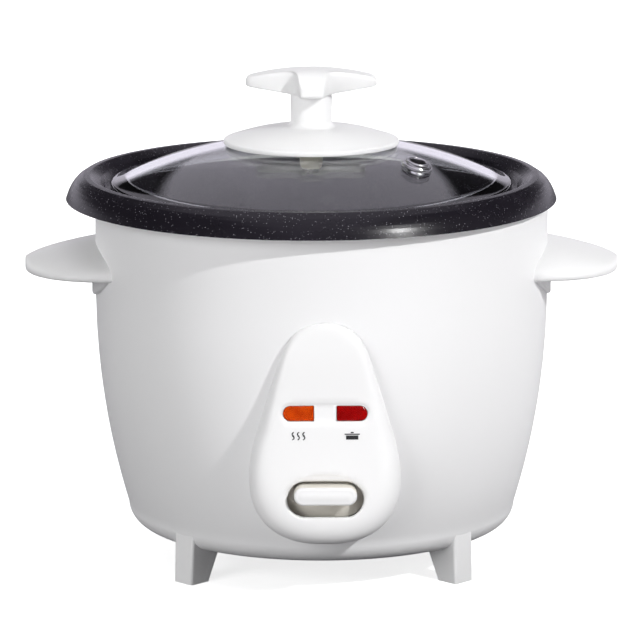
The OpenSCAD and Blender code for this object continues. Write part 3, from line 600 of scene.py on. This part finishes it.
def knob_cap():
    """The grip: a crowned cross bar whose front and rear lobes hang over the stem."""
    half_l, half_d = (GRIP_HIGH.x - GRIP_LOW.x) / 2, (GRIP_HIGH.y - GRIP_LOW.y) / 2
    bar_half_d, lobe_half_w = 6.0, 5.6
    top_r, under_r = 2.2, 1.2

    def oval(turn, half_w, half_h, power):
        """Distance from the middle to a rounded rectangle's outline."""
        across, along = abs(math.cos(turn)), abs(math.sin(turn))
        return ((across / half_w) ** power + (along / half_h) ** power) ** (-1 / power)

    def reach(turn):
        bar, lobe = oval(turn, half_l, bar_half_d, 5), oval(turn, lobe_half_w, half_d, 5)
        return min((bar ** 2 + lobe ** 2) ** 0.5, oval(turn, half_l, half_d, 6))

    def top(x, y):
        return GRIP_HIGH.z - 3.5 * (abs(x) / half_l) ** 2.0 - 8.4 * (abs(y) / half_d) ** 3.4

    def under(x):
        return STEM_TOP + 0.03 + 3.3 * max(0, (abs(x) - STEM_R) / (half_l - STEM_R)) ** 0.9

    def top_edge(x, y, fall):
        return max(top(x, y) - fall, under(x) + under_r + 0.1)

    count = 160
    turns = [TAU * k / count for k in range(count)]
    rings = []

    def ring(share, inset, height):
        """A ring drawn in by a share of its size and by a length, at a height that depends on the place."""
        points = []
        for turn in turns:
            far = max(reach(turn) * (1 - share) - inset, 0.01)
            x, y = far * math.cos(turn), far * math.sin(turn)
            points.append((POT_X + x, y, height(x, y)))
        rings.append(points)

    for share in [0.97, 0.9, 0.8, 0.7, 0.6, 0.5, 0.4, 0.3, 0.2, 0.12, 0.06]:
        ring(share, 0, top)
    for i in range(9):
        a = math.pi / 2 * i / 8
        fall = top_r * (1 - math.cos(a))
        ring(0, top_r * (1 - math.sin(a)), lambda x, y: top_edge(x, y, fall))
    for i in range(6):
        a = math.pi / 2 * (i + 1) / 6
        rise = under_r * (1 - math.sin(a))
        ring(0, under_r * (1 - math.cos(a)), lambda x, y: under(x) + rise)
    for share in [0.2, 0.4, 0.6, 0.8, 0.95]:
        ring(share, under_r * (1 - share), lambda x, y: under(x))
    cap = piece("knob_cap", *loft(rings), sharp=60)
    hand_over(cap, "lid", "white_plastic", "knob_grip")


lid()
vent()
knob_disc()
knob_cap()


# ---- Control panel ----

PANEL_MID_Z = 73.8
PANEL_HALF_H = 46.4
PANEL_ROUND = 9
BORDER = 11
BORDER_MIN = 2.2
INSET_REACH = 34
CHANNEL_HALF_W, CHANNEL_HALF_H = LENS_W + LAMP_GAP / 2 + 1.5, LENS_H / 2 + 1.5
SCOOP_HALF_W, SCOOP_HALF_H, SCOOP_Z = 17.2, 8.6, SLOT_Z + 2.2
SLOT_LIP_R = 0.9


def panel_half_w(sine):
    """Half the panel's width at a height given as a share of its half height: an arch over a round belly."""
    closing = math.sqrt(1 - sine ** 10) if sine > 0 else (1 - sine * sine) ** 0.425
    return 28 * closing * (1 - 0.5 * sine)


def panel_outline(inset, count=180):
    """The panel's egg shape in x and z, drawn in by inset."""
    points = []
    for i in range(count):
        turn = TAU * i / count - math.pi / 2
        sine = math.sin(turn)
        side = 1 if math.cos(turn) >= 0 else -1
        half_w = panel_half_w(sine) * (1 - inset / INSET_REACH)
        points.append((side * half_w, PANEL_MID_Z + (PANEL_HALF_H - inset) * sine))
    return points


def panel_inset(x, z):
    """How far a point on the panel's face lies in from its outline."""
    low, high = 0.0, INSET_REACH - 1.0
    for _ in range(26):
        middle = (low + high) / 2
        sine = (z - PANEL_MID_Z) / (PANEL_HALF_H - middle)
        inside = abs(sine) < 1
        if inside:
            inside = abs(x) < panel_half_w(sine) * (1 - middle / INSET_REACH)
        low, high = (middle, high) if inside else (low, middle)
    return low


def from_stadium(x, z, half_w, half_h, centre_z):
    """Signed distance from a slot's outline: positive outside."""
    straight = half_w - half_h
    return math.hypot(max(abs(x) - straight, 0), z - centre_z) - half_h


def smooth(t):
    """An eased step from 0 to 1."""
    t = min(max(t, 0), 1)
    return t * t * (3 - 2 * t)


def face_lift(z):
    """How far the upper end of the face swells out from its plane."""
    return 1.3 * smooth((z - 84) / 26)


def border_depth(x, z, inset):
    """How far the panel's round border lies behind its plane; lower where it stands low over the housing."""
    face = on_panel(0, -face_lift(z), z)
    height = -math.sqrt(max(wall_r(face.z) ** 2 - x * x, 0)) - face.y
    drop = min(PANEL_ROUND, max(0.3, 0.85 * height))
    width = BORDER_MIN + (BORDER - BORDER_MIN) * drop / PANEL_ROUND
    border = max(0.0, 1 - inset / width)
    return drop * (1 - math.sqrt(max(0.0, 1 - border ** 2.25))) - face_lift(z)


def panel_depth(x, z, inset):
    """How far the panel's surface lies behind its flat face, with its channel, scoop and slot lip."""
    depth = border_depth(x, z, inset)
    channel = from_stadium(x, z, CHANNEL_HALF_W, CHANNEL_HALF_H, LAMP_Z)
    depth += 0.6 * smooth(-channel)
    scoop = (x / SCOOP_HALF_W) ** 2 + ((z - SCOOP_Z) / SCOOP_HALF_H) ** 2
    depth += 1.9 * max(0.0, 1 - scoop) ** 0.8
    lip = max(from_stadium(x, z, SLOT_HALF_W, SLOT_HALF_H, SLOT_Z), 0.0)
    if lip < SLOT_LIP_R:
        depth += SLOT_LIP_R - math.sqrt(SLOT_LIP_R ** 2 - (SLOT_LIP_R - lip) ** 2)
    return depth


def on_panel(x, depth, z):
    """A point of the panel's own frame, in the part's frame."""
    up = z - SLOT_Z
    return Vector((x, -PANEL_Y + depth * math.cos(PANEL_TILT) + up * math.sin(PANEL_TILT),
                   SLOT_Z - depth * math.sin(PANEL_TILT) + up * math.cos(PANEL_TILT)))


def clear_of_housing(point):
    """Eases a point that would sink into the housing back out to just over its surface."""
    radius = math.hypot(point.x, point.y)
    gap = radius - wall_r(point.z)
    eased = 0.5 * (gap + math.sqrt(gap * gap + 0.05)) if gap < 3 else gap
    eased = max(eased, 0.04)
    scale = (wall_r(point.z) + eased) / radius
    return Vector((point.x * scale, point.y * scale, point.z))


def to_housing(x, depth, z):
    """The point straight behind a place on the panel where its side meets the housing."""
    low, high = depth, depth + 40
    for _ in range(30):
        middle = (low + high) / 2
        point = on_panel(x, middle, z)
        outside = math.hypot(point.x, point.y) > wall_r(point.z) + 0.03
        low, high = (middle, high) if outside else (low, middle)
    return on_panel(x, low, z)


def lens_outline(side, grow=0.0):
    """A lens's outline: round at its outer end, square with small rounds at its inner end."""
    inner, outer, half = LAMP_GAP / 2 - grow, LAMP_GAP / 2 + LENS_W + grow, LENS_H / 2 + grow
    corner = 0.5
    above = [(outer - half - (outer - half - inner) * t, half) for t in (0.2, 0.4, 0.6, 0.8)]
    points = arc((outer - half, 0), half, -90, 90, 20) + above
    points += arc((inner + corner, half - corner), corner, 90, 180, 4)
    points += arc((inner + corner, corner - half), corner, 180, 270, 4)
    points += [(x, -half) for x, _ in reversed(above)]
    return [(side * x, LAMP_Z + z) for x, z in points]


def in_lens(x, z, grow):
    """Whether a place on the panel lies within a lens's outline grown by a margin."""
    round_x = LAMP_GAP / 2 + LENS_W - LENS_H / 2
    bulge = math.hypot(max(abs(x) - round_x, 0), z - LAMP_Z)
    return bulge < LENS_H / 2 + grow


def panel():
    """The moulded cover: its face, its round border down to the housing, its openings and its inside."""
    borders = [0, 0.08, 0.3, 0.65, 1.1, 1.7, 2.4, 3.2, 4.2, 5.4, 6.8]
    outlines = [panel_outline(inset) for inset in borders]
    flat, edges = [], []

    def add_loop(points):
        start = len(flat)
        flat.extend(points)
        edges.extend((start + i, start + (i + 1) % len(points)) for i in range(len(points)))

    add_loop(outlines[-1])
    for offset in (0, 0.1, 0.3, 0.6, 0.9, 1.6):
        add_loop(stadium(SLOT_HALF_W, SLOT_HALF_H, offset, 96, (0, SLOT_Z)))
    for side in (-1, 1):
        for offset in (LENS_GAP, 0.6):
            add_loop(lens_outline(side, offset))
    for offset in (0.0, 0.5, 1.0):
        add_loop(stadium(CHANNEL_HALF_W - offset, CHANNEL_HALF_H - offset, 0, 110, (0, LAMP_Z)))
    for share in (1.0, 0.95, 0.85, 0.7, 0.5):
        upper = [(SCOOP_HALF_W * x, SCOOP_Z + SCOOP_HALF_H * z) for x, z in arc((0, 0), share, 0, 180, 45)]
        flat.extend(p for p in upper if from_stadium(*p, SLOT_HALF_W, SLOT_HALF_H, SLOT_Z) > 1.8)
    step = 1.7
    for i in range(-16, 17):
        for j in range(52):
            x, z = (i + 0.5 * (j % 2)) * step, 32 + j * step
            if panel_inset(x, z) < 7.6:
                continue
            if from_stadium(x, z, SLOT_HALF_W, SLOT_HALF_H, SLOT_Z) < 2.2:
                continue
            near_lens = from_stadium(x, z, CHANNEL_HALF_W, CHANNEL_HALF_H, LAMP_Z)
            if near_lens < 0.8 and (near_lens > -1.8 or abs(x) > 3.2):
                continue
            flat.append((x, z))
    points, _, faces, _, _, _ = geometry.delaunay_2d_cdt([Vector(p) for p in flat], edges, [], 0, 1e-5)

    def hole(face):
        x = sum(points[i].x for i in face) / len(face)
        z = sum(points[i].y for i in face) / len(face)
        if from_stadium(x, z, SLOT_HALF_W, SLOT_HALF_H, SLOT_Z) < 0.02:
            return True
        within = abs(z - LAMP_Z) < LENS_H / 2 + LENS_GAP and LAMP_GAP / 2 - LENS_GAP < abs(x)
        if within and in_lens(x, z, LENS_GAP - 0.02):
            return True
        return panel_inset(x, z) < borders[-1] - 0.02

    faces = [list(f) for f in faces if not hole(f)]
    verts, all_faces = [], []

    def add(point):
        verts.append(tuple(point))
        return len(verts) - 1

    def shown(x, z, inset):
        return clear_of_housing(on_panel(x, panel_depth(x, z, inset), z))

    def behind(x, z, inset, back=PANEL_WALL):
        return on_panel(x, border_depth(x, z, max(inset, 4.5)) + back, z)

    insets = [panel_inset(point.x, point.y) for point in points]
    index = [add(shown(point.x, point.y, inset)) for point, inset in zip(points, insets)]
    back_index = [add(behind(point.x, point.y, inset)) for point, inset in zip(points, insets)]
    for face in faces:
        all_faces.append([index[k] for k in face])
        all_faces.append([back_index[k] for k in face][::-1])

    def nearest(point):
        return min(range(len(points)), key=lambda k: (points[k] - Vector(point)).length)

    def strip(first, second):
        for k in range(len(first)):
            n = (k + 1) % len(first)
            all_faces.append([first[k], first[n], second[n], second[k]])

    last = [nearest(p) for p in outlines[-1]]
    ring_above = [index[k] for k in last]
    for inset, outline in list(zip(borders, outlines))[-2::-1]:
        ring = [add(shown(x, z, inset)) for x, z in outline]
        strip(ring_above, ring)
        ring_above = ring

    def feet(outline, tuck):
        """Where an outline's sides meet the housing; tucked in where the panel's face is already there."""
        ring = []
        for x, z in outline:
            depth = panel_depth(x, z, 0)
            point = on_panel(x, depth, z)
            sunk = math.hypot(point.x, point.y) < wall_r(point.z) + 0.3
            tucked = clear_of_housing(point) + Vector((0, tuck, 0))
            ring.append(add(tucked if sunk else to_housing(x, depth, z)))
        return ring

    foot, inner_foot = feet(outlines[0], 0), feet(panel_outline(PANEL_WALL), 0.5)
    strip(ring_above, foot)
    strip(foot, inner_foot)
    strip(inner_foot, [back_index[k] for k in last])
    for side in (-1, 1):
        loop = [nearest(p) for p in lens_outline(side, LENS_GAP)]
        strip([index[k] for k in loop], [back_index[k] for k in loop])
    edge = [nearest(p) for p in stadium(SLOT_HALF_W, SLOT_HALF_H, 0, 96, (0, SLOT_Z))]
    strip([index[k] for k in edge], [back_index[k] for k in edge])
    cover = piece("panel_cover", verts, all_faces, sharp=40)
    edit = bmesh.new()
    edit.from_mesh(cover.data)
    bmesh.ops.delete(edit, geom=[v for v in edit.verts if not v.link_faces], context="VERTS")
    edit.to_mesh(cover.data)
    edit.free()
    hand_over(cover, "base", "white_plastic", "control_panel")


def lens(side, name, slot, node):
    """A lens whose face is cut into small diamond prisms."""
    half, margin = 0.55, 0.3
    valley, peak, rear = 0.78, 0.5, 3.2
    outline = lens_outline(side)
    flat = list(outline)
    edges = [(i, (i + 1) % len(outline)) for i in range(len(outline))]
    grid = {}
    for i in range(-22, 23):
        for j in range(-6, 7):
            x, z = side * (LAMP_GAP + LENS_W) / 2 + i * half, LAMP_Z + j * half
            if in_lens(x, z, -margin) and LAMP_GAP / 2 + margin < abs(x):
                grid[i, j] = len(flat)
                flat.append((x, z))
    for (i, j), here in grid.items():
        if (i + j) % 2:
            edges += [(here, grid[i + 1, j + d]) for d in (-1, 1) if (i + 1, j + d) in grid]
    points, _, faces, _, _, _ = geometry.delaunay_2d_cdt([Vector(p) for p in flat], edges, [], 1, 1e-6)
    peaks = {k for (i, j), k in grid.items() if (i + j) % 2 == 0}
    heights = []
    for point in points:
        near = [k for k in peaks if abs(flat[k][0] - point.x) + abs(flat[k][1] - point.y) < 0.02]
        heights.append(peak if near else valley)
    count = len(points)
    verts = [tuple(on_panel(p.x, h, p.y)) for p, h in zip(points, heights)]
    faces = [list(f) for f in faces]
    rim = [min(range(count), key=lambda k: (points[k] - Vector(place)).length) for place in outline]
    back = []
    for x, z in outline:
        verts.append(tuple(on_panel(x, rear, z)))
        back.append(len(verts) - 1)
    for k in range(len(rim)):
        n = (k + 1) % len(rim)
        faces.append([rim[k], rim[n], back[n], back[k]])
    faces.append(back)
    hand_over(piece(name, verts, faces, sharp=12), "base", slot, node)


def tab():
    """The lever's tab: a thick key with a crisp round edge, on the shield that closes the slot."""
    half_w, half_h = TAB_HALF_W, TAB_HALF_H
    rings = []

    def ring(inset, y):
        points = []
        for x, z in stadium(half_w - inset, max(half_h - inset, 0.05), 0, 96):
            points.append((x, y, TAB_Z + z))
        rings.append(points)

    def shield(inset, y):
        """A ring of the shield behind the slot, a rounded rectangle."""
        across, up, corner = SHIELD_HALF_W - inset, SHIELD_HALF_H - inset, SHIELD_CORNER_R - inset
        points = []
        for x, z in stadium(half_w, half_h, 0, 96):
            low, high = 0.0, 20.0
            for _ in range(24):
                middle = (low + high) / 2
                far_x = max(abs(x) * middle - (across - corner), 0)
                far_z = max(abs(z) * middle - (up - corner), 0)
                low, high = (middle, high) if math.hypot(far_x, far_z) < corner else (low, middle)
            points.append((x * low, y, SHIELD_Z + z * low))
        rings.append(points)

    neck, edge_r, tab_edge_r, crown = 3.6, 0.3, 1.1, 0.3
    front = TAB_LOW.y
    start = front + crown + tab_edge_r
    back, shield_front = TAB_HIGH.y, SHIELD_Y - SHIELD_T
    for y in (back, (back + SHIELD_Y) / 2, SHIELD_Y):
        ring(neck, y)
    shield(edge_r, SHIELD_Y)
    shield(0, SHIELD_Y - edge_r)
    shield(0, shield_front + edge_r)
    shield(edge_r, shield_front)
    for y in (shield_front, -100, -102, -104.5, start):
        ring(0, y)
    for i in range(1, 8):
        a = math.pi / 2 * i / 7
        ring(tab_edge_r * (1 - math.cos(a)), start - tab_edge_r * math.sin(a))
    for inset in (1.4, 1.9, 2.5, 3.1, 3.6):
        ring(inset, front + crown - crown * smooth((inset - tab_edge_r) / 2.4))
    key = hand_over(piece("tab_key", *loft(rings), sharp=50), "lever", "white_plastic", "lever_tab")
    # Faces behind the tab's front get the painted-shade cream-white in place of the slot's shade; the front
    # face keeps the plain white.
    key.data.materials.append(painted_shade_white)
    for face in key.data.polygons:
        face.material_index = int(face.center.y / MM > front + 1.5)


panel()
lens(-1, "lens_warm", "amber_lens", "warm_lens")
lens(1, "lens_cook", "red_lens", "cook_lens")
tab()


# ---- Side handles ----

def handle_plate(side, thick=1.6, sections=40):
    """The crescent below a handle's wing, lying on the housing."""
    rings = []
    for i in range(sections + 1):
        y = 38.2 * math.sin(math.pi / 2 * (2 * i / sections - 1))
        low = HANDLE_Z + 55 - math.sqrt(66 ** 2 - y * y)
        high = HANDLE_Z + 2.4
        middle, inner = (low + high) / 2, 0.05
        line = [(thick, high), (thick, middle), (thick, low + 0.9), (thick - 0.1, low + 0.5),
                (thick - 0.4, low + 0.15), (thick - 0.8, low), (inner, low), (inner, middle), (inner, high)]
        ring = []
        for lift, z in line:
            radius = wall_r(z) + lift
            ring.append((side * math.sqrt(radius ** 2 - y * y), y, z))
        rings.append(ring)
    return loft(rings)


def handle(side, name, node):
    """A wing with a domed top, a hollowed underside and a soft round edge."""
    rings = []
    sections, steps, edge_r = 30, 32, 1.7
    for i in range(sections + 1):
        share = math.sin(math.pi / 2 * i / sections)
        width = max(HANDLE_HALF_W * max(1 - share ** 2.3, 0) ** 0.5, 0.6)
        top = 12.4 - 7.6 * share ** 1.1
        edge_x = width - min(edge_r, width * 0.5)
        section = []
        for k in range(steps + 1):
            a = math.pi * k / steps
            section.append((width * math.cos(a), edge_r + (top - edge_r) * math.sin(a) ** 0.9))
        section += arc((-edge_x, edge_r), edge_r, 195, 270, 5)
        hollow = max(min(share * 3, (0.86 - share) * 6, 1), 0)
        for spot in (-0.86, -0.8, -0.7, -0.45, -0.2, 0.2, 0.45, 0.7, 0.8, 0.86):
            dip = 2.2 * smooth(hollow) * smooth((0.84 - abs(spot)) / 0.12)
            section.append((spot * width, dip))
        section += arc((edge_x, edge_r), edge_r, 270, 345, 5)
        ring = []
        for y, z in section:
            height = HANDLE_Z + z
            root = math.sqrt(wall_r(height) ** 2 - y * y) - 0.3
            ring.append((side * (root + share * (HANDLE_TIP - root)), y, height))
        rings.append(ring)
    verts, faces = loft(rings)
    plate_verts, plate_faces = handle_plate(side)
    faces += [[len(verts) + i for i in face] for face in plate_faces]
    hand_over(piece(name, verts + plate_verts, faces, sharp=50), "base", "white_plastic", node)


handle(-1, "handle_wing_left", "handle_left")
handle(1, "handle_wing_right", "handle_right")


# ---- Studio ----

def surroundings():
    """What the glossy surfaces mirror: a long soft box overhead along y, a white wall and a dark room."""
    world = bpy.data.worlds.new("studio")
    world.use_nodes = True
    tree = world.node_tree

    def ranged(value, start, end, low, high):
        """A value moved from start..end to low..high."""
        node = tree.nodes.new("ShaderNodeMapRange")
        for key, number in (("From Min", start), ("From Max", end), ("To Min", low), ("To Max", high)):
            node.inputs[key].default_value = number
        tree.links.new(value, node.inputs["Value"])
        return node.outputs["Result"]

    def maths(operation, first, second):
        node = tree.nodes.new("ShaderNodeMath")
        node.operation = operation
        for socket, value in zip(node.inputs, (first, second)):
            if isinstance(value, (int, float)):
                socket.default_value = value
            else:
                tree.links.new(value, socket)
        return node.outputs["Value"]

    split = tree.nodes.new("ShaderNodeSeparateXYZ")
    tree.links.new(tree.nodes.new("ShaderNodeTexCoord").outputs["Generated"], split.inputs["Vector"])
    across, up = maths("ABSOLUTE", split.outputs["X"], 0), split.outputs["Z"]
    lean = maths("DIVIDE", across, maths("MAXIMUM", up, 0.001))

    # The soft box grows brighter towards the zenith; the wall ends a little over the horizon.
    box = maths("MULTIPLY", ranged(lean, 0.46, 0.52, 1, 0), ranged(up, 0, 1, 0.16, 1.0))
    wall = ranged(up, 0.16, 0.23, 1, 0.015)
    above = maths("MAXIMUM", box, wall)
    below = ranged(up, -0.03, 0, 0.25, 1)
    ground = tree.nodes["Background"]
    ground.inputs["Color"].default_value = (0.92, 0.88, 1, 1)
    tree.links.new(maths("MULTIPLY", above, below), ground.inputs["Strength"])
    world.cycles_visibility.diffuse = False
    return world


def bounce():
    """Light that the lit floor in front and to the right throws back up: a sheet just under the floor."""
    columns, start, sweep = 40, -25, 150
    verts, faces = [], []
    for k in range(columns + 1):
        turn = math.radians(start + sweep * k / columns)
        for radius in (0.14, 0.5, 1.6):
            verts.append((radius * math.sin(turn), -radius * math.cos(turn), -0.002))
    for k in range(columns):
        for j in range(2):
            a = 3 * k + j
            faces.append([a, a + 1, a + 4, a + 3])
    sheet = piece("studio_bounce", verts, faces, scale=1)
    shader = Shader("bounce_light")
    shader.colour(shader.mix(shader.noise(200), (0, 0, 0), (0, 0, 0)))
    shader.set(Emission_Color=(1.0, 0.985, 1.0, 1), Emission_Strength=0.62)
    sheet.data.materials.append(shader.material)
    sheet.visible_camera = sheet.visible_glossy = sheet.visible_transmission = sheet.visible_shadow = False


def area(name, azimuth, elevation, distance, size, watts, target=(0, 0, 0.1), mirrored=False):
    """A round area light, placed by its azimuth from the front towards +X."""
    lamp = bpy.data.lights.new(name, "AREA")
    lamp.shape, lamp.size, lamp.energy = "DISK", size, watts
    obj = bpy.data.objects.new(name, lamp)
    turn, lift = math.radians(azimuth), math.radians(elevation)
    away = Vector((math.sin(turn) * math.cos(lift), -math.cos(turn) * math.cos(lift), math.sin(lift)))
    obj.location = Vector(target) + away * distance
    obj.rotation_euler = (-away).to_track_quat("-Z", "Y").to_euler()
    obj.visible_glossy = obj.visible_transmission = mirrored
    bpy.context.scene.collection.objects.link(obj)


def studio():
    """A plain pale floor, one small key light at the front right, and large soft lights round about."""
    mesh = bpy.data.meshes.new("studio_floor")
    edit = bmesh.new()
    bmesh.ops.create_grid(edit, x_segments=24, y_segments=24, size=7)
    edit.to_mesh(mesh)
    edit.free()
    floor = bpy.data.objects.new("studio_floor", mesh)
    floor.location = (0, 3, 0)
    bpy.context.scene.collection.objects.link(floor)
    mesh.materials.append(plastic("floor_pale", (0.95, 0.95, 0.95), (0.94, 0.94, 0.94), 0.9, 2, 0.01,
                                  Emission_Color=(1, 1, 1, 1), Emission_Strength=0.75))
    floor.visible_diffuse = floor.visible_glossy = False
    bounce()

    area("key", 44, 32, 2.4, 0.10, 35, mirrored=True)
    area("overhead", 0, 89, 4.0, 5.0, 80, (0, 0.8, 0))
    area("fill_left", -42, 12, 2.6, 1.8, 47)
    area("fill_right", 80, 6, 2.6, 1.8, 20)
    area("rear_right", 140, 14, 2.6, 1.8, 24)
    area("rear_left", 215, 14, 2.6, 1.8, 24)
    bpy.context.scene.world = surroundings()
    bpy.context.scene.view_settings.view_transform = "Standard"


def camera():
    """The camera, at the photograph's angle."""
    turn, drop = math.radians(-0.86), math.radians(11.55)
    distance, aside, height = 1.8, -0.00065, 0.469
    data = bpy.data.cameras.new("camera")
    data.lens, data.sensor_width = 239.68, 36
    data.clip_end = 30
    obj = bpy.data.objects.new("camera", data)
    obj.location = (distance * math.sin(turn) + aside * math.cos(turn),
                    -distance * math.cos(turn) + aside * math.sin(turn), height)
    obj.rotation_euler = (math.pi / 2 - drop, 0, turn)
    bpy.context.scene.collection.objects.link(obj)
    bpy.context.scene.camera = obj


studio()
camera()
